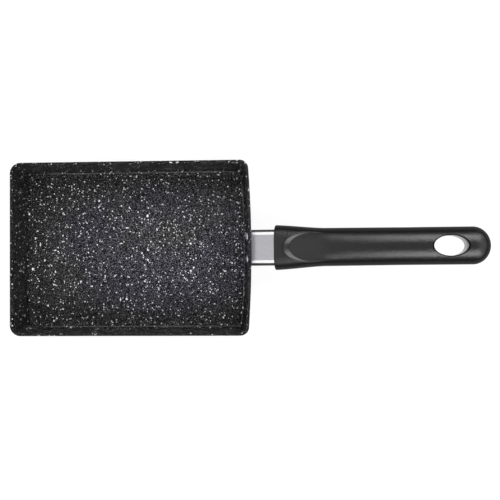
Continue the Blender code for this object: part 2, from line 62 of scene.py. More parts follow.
# Handle line
ATTACH_HEIGHT = 0.0210
HANDLE_RISE = math.radians(8.0)
SLEEVE_SHOWN = 0.0196
SLEEVE_HIDDEN = 0.0030
HANDLE_LENGTH = 0.1572
STRAIGHT_LENGTH = 0.0500
END_RISE = math.radians(1.5)
SPINE_STEP = 0.0001
FIT = 0.0003

# Sleeve
SLEEVE_WIDTH = 0.0267
SLEEVE_HEIGHT = 0.0165
SLEEVE_CORNER = 0.0038
SLEEVE_SHEET = 0.0007

# Handle form
FRONT_HALF_WIDTH = 0.0168
BAR_HALF_WIDTH = 0.0144
BAR_NARROWING = 0.0006
BAR_NARROWED_AT = 0.0950
COLLAR_LENGTH = 0.0360
BAR_TOP = 0.01018
BAR_BOTTOM = 0.0086
FRONT_BOTTOM = 0.0116
BELLY_LENGTH = 0.0620
END_CAP = 0.0130
END_LIFT_POWER = 0.8
FRONT_ROUNDING = 0.0005
FRONT_SQUARENESS = 2.8
BAR_SQUARENESS = 2.15
ROUND_FROM = 0.0600

# Thumb rest, deepest at its nose and running out along the bar
THUMB_CENTRE = 0.0283
THUMB_NOSE = 0.0170
THUMB_REACH = 0.0300
THUMB_HALF_WIDTH = 0.0102
THUMB_DEPTH = 0.0020
THUMB_RUN_OUT = 0.0375
THUMB_BLEND = 0.2
THUMB_SLOPE_NOSE = 0.0045
THUMB_SLOPE_SIDE = 0.0008
THUMB_SLOPE_POWER = 1.5
THUMB_LIP = 0.25

# Hang hole
HOLE_FROM_END = 0.0288
HOLE_HALF_LENGTH = 0.01225
HOLE_HALF_WIDTH = 0.0074
HOLE_EDGE = 0.0006
HOLE_LEAN = math.radians(5.0)

# Rivets, and the screw's counterbore, whose heights are measured square to the handle's line
RIVET_SPACING = 0.0166
RIVET_UP = 0.0015
RIVET_RADIUS = 0.0020
RIVET_HEAD_RADIUS = 0.0032
RIVET_HEAD_HEIGHT = 0.0013
RIVET_HEAD_EDGE = 0.0003
RIVET_DOME_POWER = 0.8
RIVET_TAIL_RADIUS = 0.0027
RIVET_TAIL = (0.0026, 0.0038)
RIVET_SEAM = 0.0001
SCREW_ALONG = 0.0345
COUNTERBORE_RADIUS = 0.0048
COUNTERBORE_CEILING = -0.0067
COUNTERBORE_FLARE = 0.0010
COUNTERBORE_FLARE_HEIGHTS = (-0.0106, -0.0118)
UNDER_GRIP = -0.020

# How finely curves are cut
CORNER_CUTS = 16
BOW_CUTS = 60
SIDE_CUTS = 40
FOOT_CUTS = 12
RIM_CUTS = 5
INNER_FOOT_CUTS = 16
SECTION_CUTS = 240
FRONT_CUTS = 5
CAP_CUTS = 22
HOLE_CUTS = 160
BORE_CUTS = 64
RIVET_CUTS = 48
DOME_CUTS = 8
SLEEVE_CORNER_CUTS = 20
FRONT_SPACING = 0.0006
THUMB_SPACING = 0.00026
THUMB_SPACING_FROM = 0.0060
THUMB_SPACING_TO = 0.0440
BAR_SPACING = 0.0012
WELD = 0.000001

# Sharpest turns, in degrees, that are still shaded smooth
CREASE = 40
RIVET_CREASE = 50

# Camera, over the near end of the pan and a little to one side
CAMERA_PLACE = Vector((0.15699, -0.02392, 0.86230))
CAMERA_AIM = Vector((0.09140, -0.00192, 0.03500))
CAMERA_ROLL = 0.00593
CAMERA_LENS = 80.88


# Shaping


def smooth_step(value):
    value = min(max(value, 0.0), 1.0)
    return value * value * (3 - 2 * value)


def mix(a, b, share):
    return a + (b - a) * share


def quarter(cuts):
    """Cosine and sine at even steps round a quarter turn."""
    turns = [math.radians(90 * i / cuts) for i in range(cuts + 1)]
    return [(math.cos(turn), math.sin(turn)) for turn in turns]


def full_turn(cuts):
    """Cosine and sine at even steps round a whole turn."""
    turns = [math.tau * i / cuts for i in range(cuts)]
    return [(math.cos(turn), math.sin(turn)) for turn in turns]


def powered(value, power):
    """A power of a value's size, with the value's own sign."""
    return math.copysign(abs(value) ** power, value)


def loop_edges(bm, loop):
    return [bm.edges.get((a, b)) for a, b in zip(loop, loop[1:] + loop[:1])]


def pulled(bm, loop, ring):
    """Extrude a closed loop and lay the new loop on a ring of points."""
    made = bmesh.ops.extrude_edge_only(bm, edges=loop_edges(bm, loop))
    fresh = {item for item in made["geom"] if isinstance(item, bmesh.types.BMVert)}
    onward = []
    for vert, point in zip(loop, ring):
        for edge in vert.link_edges:
            other = edge.other_vert(vert)
            if other in fresh:
                other.co = point
                onward.append(other)
    return onward


def drawn_out(rings):
    """A circle laid on the first ring, extruded on to each next one and closed at both ends."""
    bm = bmesh.new()
    first = bmesh.ops.create_circle(bm, cap_ends=False, segments=len(rings[0]), radius=1.0)["verts"]
    for vert, point in zip(first, rings[0]):
        vert.co = point
    last = first
    for ring in rings[1:]:
        last = pulled(bm, last, ring)
    for loop in (first, last):
        bmesh.ops.edgeloop_fill(bm, edges=loop_edges(bm, loop))
    return bm


def cleaned(bm):
    """Weld doubled points and turn every face outward."""
    bmesh.ops.remove_doubles(bm, verts=bm.verts, dist=WELD)
    bmesh.ops.recalc_face_normals(bm, faces=bm.faces)


def finished(bm, name, crease=None):
    """The form as a smooth piece at the origin, sharp where it turns by more than the crease in degrees."""
    cleaned(bm)
    mesh = bpy.data.meshes.new(name)
    bm.to_mesh(mesh)
    bm.free()
    piece = bpy.data.objects.new(name, mesh)
    bpy.context.scene.collection.objects.link(piece)
    smoothed(piece, crease)
    return piece


def smoothed(piece, crease):
    for polygon in piece.data.polygons:
        polygon.use_smooth = True
    if crease:
        piece.data.set_sharp_from_angle(angle=math.radians(crease))


def spun(profile, steps):
    """A profile of (radius, height) points spun about Z."""
    bm = bmesh.new()
    chain = [bm.verts.new((radius, 0.0, height)) for radius, height in profile]
    edges = [bm.edges.new(pair) for pair in zip(chain, chain[1:])]
    bmesh.ops.spin(
        bm,
        geom=chain + edges,
        cent=(0.0, 0.0, 0.0),
        axis=(0.0, 0.0, 1.0),
        angle=math.tau,
        steps=steps,
        use_merge=True,
    )
    return bm


def cut(piece, cutter, crease):
    """Take a closed form out of a piece and throw the form away."""
    modifier = piece.modifiers.new("cut", "BOOLEAN")
    modifier.operation = "DIFFERENCE"
    modifier.solver = "EXACT"
    modifier.object = cutter
    graph = bpy.context.evaluated_depsgraph_get()
    mesh = bpy.data.meshes.new_from_object(piece.evaluated_get(graph))
    piece.modifiers.clear()
    piece.data = mesh
    bpy.data.objects.remove(cutter)
    smoothed(piece, crease)


def rides(piece, node):
    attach(piece, "root")
    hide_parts(node)
    return piece


# Places shared by the pieces


def wall_slope():
    return FLARE_END / WALL_RISE


def wall_x(height):
    return PAN_LENGTH / 2 + RIM_BOW - wall_slope() * (PAN_HEIGHT - height)


def wall_frame():
    """Origin on the near wall's outer face, Z out of the wall and Y up it."""
    lean = math.atan(wall_slope())
    out = Vector((math.cos(lean), 0.0, -math.sin(lean)))
    up = Vector((math.sin(lean), 0.0, math.cos(lean)))
    turn = Matrix((up.cross(out), up, out)).transposed().to_4x4()
    return Matrix.Translation((wall_x(ATTACH_HEIGHT), 0.0, ATTACH_HEIGHT)) @ turn


def handle_frame():
    """Origin on the wall, X along the handle's line, Z square to it and up."""
    place = Matrix.Translation((wall_x(ATTACH_HEIGHT), 0.0, ATTACH_HEIGHT))
    return place @ Matrix.Rotation(-HANDLE_RISE, 4, "Y")


def trace_spine():
    """The handle's middle line as a table of (x, z, rise), one row for each small step along it."""
    start = handle_frame() @ Vector((SLEEVE_SHOWN, 0.0, 0.0))
    x, z = start.x, start.z
    table = []
    for i in range(int(HANDLE_LENGTH / SPINE_STEP) + 3):
        bend = ((i + 0.5) * SPINE_STEP - STRAIGHT_LENGTH) / (HANDLE_LENGTH - STRAIGHT_LENGTH)
        angle = mix(HANDLE_RISE, END_RISE, min(max(bend, 0.0), 1.0))
        table.append((x, z, angle))
        x += math.cos(angle) * SPINE_STEP
        z += math.sin(angle) * SPINE_STEP
    return table


SPINE = trace_spine()


def spine(distance):
    place = min(max(distance / SPINE_STEP, 0.0), len(SPINE) - 2.0)
    i = int(place)
    share = place - i
    return tuple(mix(a, b, share) for a, b in zip(SPINE[i], SPINE[i + 1]))


# Pan


def outline(height, inset):
    """The pan's outer outline at a height above the base sheet, drawn in by an inset."""
    rise = height / WALL_RISE
    end = PAN_LENGTH / 2 - FLARE_END * (1 - rise)
    half = PAN_WIDTH / 2 - FLARE_SIDE * (1 - rise)
    near = mix(FOOT_CORNER_NEAR, RIM_CORNER_NEAR, rise)
    far = mix(FOOT_CORNER_FAR, RIM_CORNER_FAR, rise)
    corners = []
    turned = ((1, -1, -90, near), (1, 1, 0, near), (-1, 1, 90, far), (-1, -1, 180, far))
    for side_x, side_y, start, radius in turned:
        slip = max(inset - radius + LEAST_CORNER, 0.0)
        centre = Vector((side_x * (end - radius - slip), side_y * (half - radius - slip)))
        corners.append((centre, start, max(radius - inset, LEAST_CORNER)))
    points = []
    for k, (centre, start, reach) in enumerate(corners):
        for i in range(CORNER_CUTS + 1):
            turn = math.radians(start + 90 * i / CORNER_CUTS)
            points.append(centre + reach * Vector((math.cos(turn), math.sin(turn))))
        centre, start, reach = corners[(k + 1) % 4]
        turn = math.radians(start)
        first = centre + reach * Vector((math.cos(turn), math.sin(turn)))
        last = points[-1]
        count = BOW_CUTS if k == 0 else SIDE_CUTS
        points += [last.lerp(first, i / count) for i in range(1, count)]
    for point in points:
        if point.x > 0:
            point.x += RIM_BOW * (1 - (point.y / (half - inset)) ** 2)
    return points


def pan_ring(height, inset, share=1.0):
    points = outline(max(height, 0.0), inset)
    return [(point.x * share, point.y * share, height + PAD_STEP) for point in points]


def pan_profile():
    """Height above the base sheet and inset, from the base pad's middle round to the floor's edge."""
    seam = 0.0001
    past_seam = 0.0010
    floor_edge = 0.0006
    wall_shares = (0.06, 0.2, 0.4, 0.6, 0.8, 0.94)
    foot = FOOT_RADIUS + PAD_MARGIN
    chamfer_start = 0.3 * PAD_CHAMFER
    steps = [(-PAD_STEP, foot + PAD_CHAMFER), (chamfer_start - PAD_STEP, foot + chamfer_start)]
    steps += [(PAD_CHAMFER - PAD_STEP, foot), (-seam, foot), (0.0, foot - seam), (0.0, foot - past_seam)]
    steps += [(FOOT_RADIUS * (1 - cos), FOOT_RADIUS * (1 - sin)) for cos, sin in quarter(FOOT_CUTS)]
    top = WALL_RISE - RIM_ROUNDING
    steps += [(mix(FOOT_RADIUS, top, share), 0.0) for share in wall_shares]
    rim = len(steps)
    steps += [(top + RIM_ROUNDING * sin, RIM_ROUNDING * (1 - cos)) for cos, sin in quarter(RIM_CUTS)]
    for cos, sin in quarter(RIM_CUTS):
        steps.append((top + RIM_ROUNDING * cos, SHEET - RIM_ROUNDING * (1 - sin)))
    steps += [(mix(top, FOOT_RADIUS, share), SHEET) for share in wall_shares]
    inner = FOOT_RADIUS - SHEET
    steps += [(FOOT_RADIUS - inner * sin, FOOT_RADIUS - inner * cos) for cos, sin in quarter(INNER_FOOT_CUTS)]
    steps.append((SHEET, FOOT_RADIUS + floor_edge))
    return steps, rim


def make_pan():
    """The shell, with the outer coating from the base pad up to where the rim's rounding starts."""
    steps, rim = pan_profile()
    outward = (0.5, 0.97)
    rings = [pan_ring(-PAD_STEP, steps[0][1], share) for share in outward]
    rings += [pan_ring(height, inset) for height, inset in steps]
    rings += [pan_ring(SHEET, steps[-1][1], share) for share in reversed(outward)]
    bm = drawn_out(rings)
    outside = (rim + 3) * len(rings[0])
    bm.faces.ensure_lookup_table()
    for index, face in enumerate(bm.faces):
        face.material_index = 1 if index < outside else 0
    bm.faces[-2].material_index = 1
    return rides(finished(bm, "pan_shell"), "pan_body")


# Handle grip


def half_width(distance):
    bar = BAR_HALF_WIDTH - BAR_NARROWING * min(distance / BAR_NARROWED_AT, 1.0)
    gone = min(distance / COLLAR_LENGTH, 1.0)
    left = 1 - (gone + smooth_step(gone)) / 2
    return bar + (FRONT_HALF_WIDTH - BAR_HALF_WIDTH) * left


def belly(distance):
    return BAR_BOTTOM + (FRONT_BOTTOM - BAR_BOTTOM) * (1 - smooth_step(distance / BELLY_LENGTH))


def squareness(distance):
    left = 1 - min(distance / ROUND_FROM, 1.0)
    return BAR_SQUARENESS + (FRONT_SQUARENESS - BAR_SQUARENESS) * left


def thumb_dip(distance):
    """How far the thumb rest's floor lies under the handle's top, deepest at the nose."""
    nose = THUMB_CENTRE - THUMB_NOSE
    left = (THUMB_RUN_OUT - distance) / (THUMB_RUN_OUT - nose)
    if left > THUMB_BLEND:
        return THUMB_DEPTH * left
    return THUMB_DEPTH * max(left + THUMB_BLEND, 0.0) ** 2 / (4 * THUMB_BLEND)


def thumb_wall(distance, across):
    """How far up the thumb rest's sloping wall a point is: 0 on the floor, 1 on the handle's top."""
    along = distance - THUMB_CENTRE
    length = THUMB_NOSE if along < 0 else THUMB_REACH
    share = math.hypot(along / length, across / THUMB_HALF_WIDTH)
    if share < 1:
        return 0.0
    outward = math.hypot(along, across)
    toward_nose = max(-along / length / share, 0.0) ** THUMB_SLOPE_POWER
    slope = mix(THUMB_SLOPE_SIDE, THUMB_SLOPE_NOSE, toward_nose)
    reach = min((outward - outward / share) / slope, 1 + THUMB_LIP)
    return reach - max(reach - (1 - THUMB_LIP), 0.0) ** 2


def end_shrink(distance):
    """Scale of the section inside the rounded end."""
    into = (distance - (HANDLE_LENGTH - END_CAP)) / END_CAP
    if into <= 0:
        return 1.0
    return math.sqrt(max(1 - into**2, 0.0))


def section_ring(distance, inset=0.0):
    """A ring of the grip square to its middle line, with the thumb rest pressed into its top."""
    x, z, angle = spine(distance)
    shrink = end_shrink(distance)
    width = half_width(distance) * shrink - inset
    lift = shrink**END_LIFT_POWER
    power = 2 / squareness(distance)
    dip = thumb_dip(distance)
    ring = []
    for cos, sin in full_turn(SECTION_CUTS):
        across = powered(cos, power) * width
        share = abs(sin) ** power
        if sin > 0:
            top = BAR_TOP - dip * (1 - min(thumb_wall(distance, across), 1.0))
            up = share * (top * lift - inset)
        else:
            up = -share * (belly(distance) * lift - inset)
        ring.append((x - up * math.sin(angle), across, z + up * math.cos(angle)))
    return ring


def rounded_box_point(cos, sin, half_across, half_up, corner):
    """A point on a rounded rectangle, spread so that it lines up with a section's points."""
    across = powered(cos, 0.5) * half_across
    up = powered(sin, 0.5) * half_up
    core = Vector((
        min(max(across, corner - half_across), half_across - corner),
        min(max(up, corner - half_up), half_up - corner),
    ))
    arm = Vector((across, up)) - core
    if arm.length < 1e-9:
        arm = Vector((across, 0.0)) if abs(across) / half_across > abs(up) / half_up else Vector((0.0, up))
    return core + arm.normalized() * corner


def recess_ring(depth, shrink=1.0, grow=FIT):
    """A ring of the socket in the grip's front face that takes the sleeve."""
    x, z, angle = spine(0.0)
    box = (SLEEVE_WIDTH / 2 + grow, SLEEVE_HEIGHT / 2 + grow, SLEEVE_CORNER + grow)
    ring = []
    for cos, sin in full_turn(SECTION_CUTS):
        across, up = rounded_box_point(cos, sin, *box) * shrink
        along = x + depth * math.cos(angle) - up * math.sin(angle)
        ring.append((along, across, z + depth * math.sin(angle) + up * math.cos(angle)))
    return ring


def grip_stations():
    """Distances of the grip's rings from its front face, closest together along the thumb rest."""
    stations = []
    distance = FRONT_ROUNDING
    while distance < THUMB_SPACING_TO:
        distance += THUMB_SPACING if distance > THUMB_SPACING_FROM else FRONT_SPACING
        stations.append(distance)
    run = HANDLE_LENGTH - END_CAP
    count = int((run - distance) / BAR_SPACING)
    stations += [mix(distance, run, i / count) for i in range(1, count + 1)]
    almost_round = 89
    for i in range(1, CAP_CUTS + 1):
        stations.append(run + END_CAP * math.sin(math.radians(almost_round * i / CAP_CUTS)))
    return stations


def grip_rings():
    rings = [recess_ring(SLEEVE_HIDDEN + FIT, shrink) for shrink in (0.2, 1.0)]
    rings += [recess_ring(FIT), recess_ring(0.0, grow=2 * FIT)]
    for cos, sin in quarter(FRONT_CUTS):
        rings.append(section_ring(FRONT_ROUNDING * (1 - cos), FRONT_ROUNDING * (1 - sin)))
    return rings + [section_ring(distance) for distance in grip_stations()]


def bar_height_at(distance, across):
    """Heights of the grip's lower and upper skin beside its middle line."""
    power = squareness(distance)
    share = min(abs(across) / half_width(distance), 1.0)
    fall = (1 - share**power) ** (1 / power)
    z = spine(distance)[1]
    return z - belly(distance) * fall, z + BAR_TOP * fall


def hole_ring(widen, depth, skin):
    """A ring of the hang hole, at a depth inside the grip's lower skin (0) or upper skin (1)."""
    distance = HANDLE_LENGTH - HOLE_FROM_END
    centre, middle, _ = spine(distance)
    ring = []
    for cos, sin in full_turn(HOLE_CUTS):
        x = (HOLE_HALF_LENGTH + widen) * cos
        y = (HOLE_HALF_WIDTH + widen) * sin
        height = bar_height_at(distance + x, y)[skin]
        height += -depth if skin else depth
        lean = (height - middle - BAR_TOP) * math.tan(HOLE_LEAN)
        ring.append((centre + x + lean, y, height))
    return ring


def hole_form():
    """A leaning oval that rolls out into the grip's skin above and below.

    Each step is a depth inside the skin and a widening, in lengths of the rolled edge.
    """
    steps = [(-2.0, 1.0), (-0.3, 1.0), (0.04, 1.0), (0.1, 0.68), (0.25, 0.4), (0.5, 0.15), (1.0, 0.0)]
    rings = [hole_ring(widen * HOLE_EDGE, depth * HOLE_EDGE, 0) for depth, widen in steps]
    rings += [hole_ring(widen * HOLE_EDGE, depth * HOLE_EDGE, 1) for depth, widen in reversed(steps)]
    return finished(drawn_out(rings), "hole_form")


def counterbore_form():
    flare_start, flare_end = COUNTERBORE_FLARE_HEIGHTS
    wide = COUNTERBORE_RADIUS + COUNTERBORE_FLARE
    profile = [(0.0, COUNTERBORE_CEILING), (COUNTERBORE_RADIUS, COUNTERBORE_CEILING)]
    profile += [(COUNTERBORE_RADIUS, flare_start), (wide, flare_end), (wide, UNDER_GRIP), (0.0, UNDER_GRIP)]
    bm = spun(profile, BORE_CUTS)
    place = handle_frame() @ Matrix.Translation((SCREW_ALONG, 0.0, 0.0))
    bmesh.ops.transform(bm, matrix=place, verts=bm.verts)
    return finished(bm, "counterbore_form")


def make_grip():
    grip = finished(drawn_out(grip_rings()), "grip")
    cut(grip, hole_form(), CREASE)
    cut(grip, counterbore_form(), CREASE)
    return rides(grip, "handle_grip")


# Sleeve


def make_sleeve():
    """A rounded tube drawn along the handle's line, trimmed to the wall and given its sheet."""
    bm = bmesh.new()
    size = Matrix.Diagonal((SLEEVE_WIDTH, SLEEVE_HEIGHT, 1.0, 1.0))
    bmesh.ops.create_grid(bm, x_segments=1, y_segments=1, size=0.5, matrix=size)
    bmesh.ops.bevel(
        bm,
        geom=bm.verts[:],
        offset=SLEEVE_CORNER,
        offset_type="OFFSET",
        segments=SLEEVE_CORNER_CUTS,
        profile=0.5,
        affect="VERTICES",
        material=-1,
    )
    end = SLEEVE_SHOWN + SLEEVE_HIDDEN
    behind_wall = SLEEVE_HEIGHT / 2
    bmesh.ops.translate(bm, verts=bm.verts, vec=(0.0, 0.0, -behind_wall))
    swept = bmesh.ops.extrude_face_region(bm, geom=bm.faces[:])
    moved = [item for item in swept["geom"] if isinstance(item, bmesh.types.BMVert)]
    bmesh.ops.translate(bm, verts=moved, vec=(0.0, 0.0, end + behind_wall))
    caps = [face for face in bm.faces if abs(face.normal.z) > 0.9]
    bmesh.ops.delete(bm, geom=caps, context="FACES_ONLY")
    turn = Matrix(((0, 0, 1, 0), (1, 0, 0, 0), (0, 1, 0, 0), (0, 0, 0, 1)))
    bmesh.ops.transform(bm, matrix=handle_frame() @ turn, verts=bm.verts)
    wall = wall_frame()
    bmesh.ops.bisect_plane(
        bm,
        geom=bm.verts[:] + bm.edges[:] + bm.faces[:],
        dist=WELD,
        plane_co=wall @ Vector((0.0, 0.0, FIT)),
        plane_no=wall.to_3x3() @ Vector((0.0, 0.0, 1.0)),
        clear_inner=True,
    )
    cleaned(bm)
    bmesh.ops.solidify(bm, geom=bm.faces[:], thickness=SLEEVE_SHEET)
    return rides(finished(bm, "sleeve_tube", CREASE), "sleeve")


# Rivets


def make_rivet(name, side, node):
    """A rivet through the near wall: its domed head inside the pan, its tail on the bracket."""
    head = -SHEET
    tail, tip = RIVET_TAIL
    profile = [(0.0, tip), (0.7 * RIVET_TAIL_RADIUS, tip), (RIVET_TAIL_RADIUS, mix(tail, tip, 0.6))]
    profile += [(RIVET_TAIL_RADIUS, tail), (RIVET_RADIUS, tail), (RIVET_RADIUS, head + RIVET_SEAM)]
    profile += [(RIVET_HEAD_RADIUS, head), (RIVET_HEAD_RADIUS, head - RIVET_HEAD_EDGE)]
    for cos, sin in quarter(DOME_CUTS)[1:-1]:
        height = head - RIVET_HEAD_EDGE - (RIVET_HEAD_HEIGHT - RIVET_HEAD_EDGE) * sin
        profile.append((RIVET_HEAD_RADIUS * cos**RIVET_DOME_POWER, height))
    profile.append((0.0, head - RIVET_HEAD_HEIGHT))
    bm = spun(profile, RIVET_CUTS)
    place = wall_frame() @ Matrix.Translation((side * RIVET_SPACING / 2, RIVET_UP, 0.0))
    bmesh.ops.transform(bm, matrix=place, verts=bm.verts)
    return rides(finished(bm, name, RIVET_CREASE), node)


# Finishes


class Nodes:
    """Short ways to add and join the nodes of one material, group or world."""

    def __init__(self, tree):
        self.tree = tree

    def add(self, kind, **settings):
        node = self.tree.nodes.new(kind)
        for key, value in settings.items():
            setattr(node, key, value)
        return node

    def join(self, source, target):
        self.tree.links.new(source, target)

    def feed(self, socket, value):
        if isinstance(value, bpy.types.NodeSocket):
            self.join(value, socket)
        elif value is not None:
            socket.default_value = value

    def math(self, operation, a, b=None, c=None, clamp=False):
        node = self.add("ShaderNodeMath", operation=operation, use_clamp=clamp)
        for socket, value in zip(node.inputs, (a, b, c)):
            self.feed(socket, value)
        return node.outputs[0]

    def product(self, first, *others):
        for other in others:
            first = self.math("MULTIPLY", first, other)
        return first

    def vector(self, operation, a, b=None, scale=None):
        node = self.add("ShaderNodeVectorMath", operation=operation)
        self.feed(node.inputs[0], a)
        self.feed(node.inputs[1], b)
        if scale is not None:
            self.feed(node.inputs["Scale"], scale)
        return node.outputs["Value" if operation == "LENGTH" else "Vector"]

    def mapped(self, vector, location=None, rotation=None, scale=None):
        node = self.add("ShaderNodeMapping")
        names = ("Vector", "Location", "Rotation", "Scale")
        for name, value in zip(names, (vector, location, rotation, scale)):
            self.feed(node.inputs[name], value)
        return node.outputs[0]

    def axes(self, vector):
        node = self.add("ShaderNodeSeparateXYZ")
        self.join(vector, node.inputs[0])
        return node.outputs[0], node.outputs[1], node.outputs[2]

    def noise(self, vector, scale, detail, roughness):
        node = self.add("ShaderNodeTexNoise")
        names = ("Vector", "Scale", "Detail", "Roughness")
        for name, value in zip(names, (vector, scale, detail, roughness)):
            self.feed(node.inputs[name], value)
        return node.outputs["Fac"]

    def spread(self, value, low, high, to_low=0.0, to_high=1.0):
        """Move a value from one range to another, clamped."""
        node = self.add("ShaderNodeMapRange", clamp=True)
        names = ("Value", "From Min", "From Max", "To Min", "To Max")
        for name, given in zip(names, (value, low, high, to_low, to_high)):
            self.feed(node.inputs[name], given)
        return node.outputs["Result"]

    def blend(self, share, a, b):
        node = self.add("ShaderNodeMix", data_type="RGBA")
        for index, value in ((0, share), (6, a), (7, b)):
            self.feed(node.inputs[index], value)
        return node.outputs[2]

    def bump(self, height, strength, distance):
        node = self.add("ShaderNodeBump")
        for name, value in zip(("Strength", "Distance", "Height"), (strength, distance, height)):
            self.feed(node.inputs[name], value)
        return node.outputs[0]


def opaque(red, green, blue):
    return (red, green, blue, 1.0)


def emptied(owner):
    """The cleared node tree of a new material or world."""
    owner.use_nodes = True
    owner.node_tree.nodes.clear()
    return Nodes(owner.node_tree)


def new_finish(name):
    made = bpy.data.materials.new(name)
    nodes = emptied(made)
    shader = nodes.add("ShaderNodeBsdfPrincipled")
    output = nodes.add("ShaderNodeOutputMaterial")
    nodes.join(shader.outputs[0], output.inputs[0])
    place = nodes.add("ShaderNodeTexCoord").outputs["Object"]
    return made, nodes, shader.inputs, place


FLECK_INPUTS = ("Scale", "Share", "Size", "Edge", "Ragged")

# A fade gives the two values between which a mask runs from 0 to 1, or from a third number to a fourth

# Each kind of fleck: cells to a metre, share of cells filled, size, softness of edge, raggedness
DUST = (2300.0, 0.78, 0.400, 0.06, 0.6)
CHUNKS = (420.0, 0.034, 0.27, 0.03, 1.0)
CHIPS = (1000.0, 0.115, 0.385, 0.03, 1.0)
OUTER_DUST = (1100.0, 0.40, 0.45, 0.25, 0.6)


def fleck_group():
    """Irregular flecks scattered through space: a mask of where they are, and a tone for each."""
    wander_scale = 3.1
    least_growth = 0.45
    growth = 0.9
    group = bpy.data.node_groups.new("stone flecks", "ShaderNodeTree")
    group.interface.new_socket("Place", in_out="INPUT", socket_type="NodeSocketVector")
    for name in FLECK_INPUTS:
        group.interface.new_socket(name, in_out="INPUT", socket_type="NodeSocketFloat")
    for name in ("Mask", "Tone"):
        group.interface.new_socket(name, in_out="OUTPUT", socket_type="NodeSocketFloat")
    nodes = Nodes(group)
    given = nodes.add("NodeGroupInput").outputs
    result = nodes.add("NodeGroupOutput").inputs
    scaled = nodes.vector("SCALE", given["Place"], scale=given["Scale"])
    wander = nodes.add("ShaderNodeTexNoise")
    nodes.join(scaled, wander.inputs["Vector"])
    wander.inputs["Scale"].default_value = wander_scale
    centred = nodes.vector("SUBTRACT", wander.outputs["Color"], (0.5, 0.5, 0.5))
    moved = nodes.vector("ADD", scaled, nodes.vector("SCALE", centred, scale=given["Ragged"]))
    cells = nodes.add("ShaderNodeTexVoronoi", feature="F1")
    nodes.join(moved, cells.inputs["Vector"])
    cells.inputs["Scale"].default_value = 1.0
    split = nodes.add("ShaderNodeSeparateColor")
    nodes.join(cells.outputs["Color"], split.inputs[0])
    chosen = nodes.math("LESS_THAN", split.outputs[0], given["Share"])
    grown = nodes.math("MULTIPLY_ADD", split.outputs[1], growth, least_growth)
    inside = nodes.math("SUBTRACT", nodes.product(grown, given["Size"]), cells.outputs["Distance"])
    edged = nodes.math("DIVIDE", inside, given["Edge"], clamp=True)
    nodes.join(nodes.product(edged, chosen), result["Mask"])
    nodes.join(split.outputs[2], result["Tone"])
    return group


def flecks(nodes, group, place, kind):
    node = nodes.add("ShaderNodeGroup", node_tree=group)
    nodes.join(place, node.inputs["Place"])
    for name, value in zip(FLECK_INPUTS, kind):
        node.inputs[name].default_value = value
    return node.outputs["Mask"], node.outputs["Tone"]


# Fades of the inside coating, whose places are in metres
FLECK_SCALE = (1.0, 1.0, 0.5)
# Painted light: the floor's middle lighter and cooler, fading to painted shade at its edge
PAINTED_LIGHT_SHIFT = (-0.0115, 0.0, 0.0)
PAINTED_LIGHT_SCALE = (0.6, 1.0, 0.0)
PAINTED_LIGHT_BY_REACH = (0.062, 0.018)
COOL_BY_CLOUD = (0.36, 0.52)
COOL_BY_PAINTED_LIGHT = (0.1, 0.5)
DUST_TONE_POWER = 1.21
DUST_BY_PAINTED_LIGHT = (0.0, 1.0, 0.62, 1.05)
DUST_BY_HEIGHT = (0.003, 0.008, 1.0, 1.15)
# Painted shade: less dust near the far wall
DUST_BY_WALL_SHADE = (-0.080, -0.066, 0.8, 1.0)
# Painted highlight along the foot of the walls
PAINTED_FOOT_HIGHLIGHT_START = (0.00385, 0.0040)
PAINTED_FOOT_HIGHLIGHT_END = (0.0047, 0.0044)
PAINTED_FOOT_HIGHLIGHT_BY_X = (-0.078, -0.064)
PAINTED_FOOT_HIGHLIGHT_BY_PATCH = (0.35, 0.6, 0.14, 0.26)
CHUNKS_BY_TONE = (0.0, 0.8, 0.7, 1.0)
CHIPS_BY_TONE = (0.0, 0.5, 0.6, 1.0)
STONE_BY_HEIGHT = (0.003, 0.012, 1.0, 0.9)


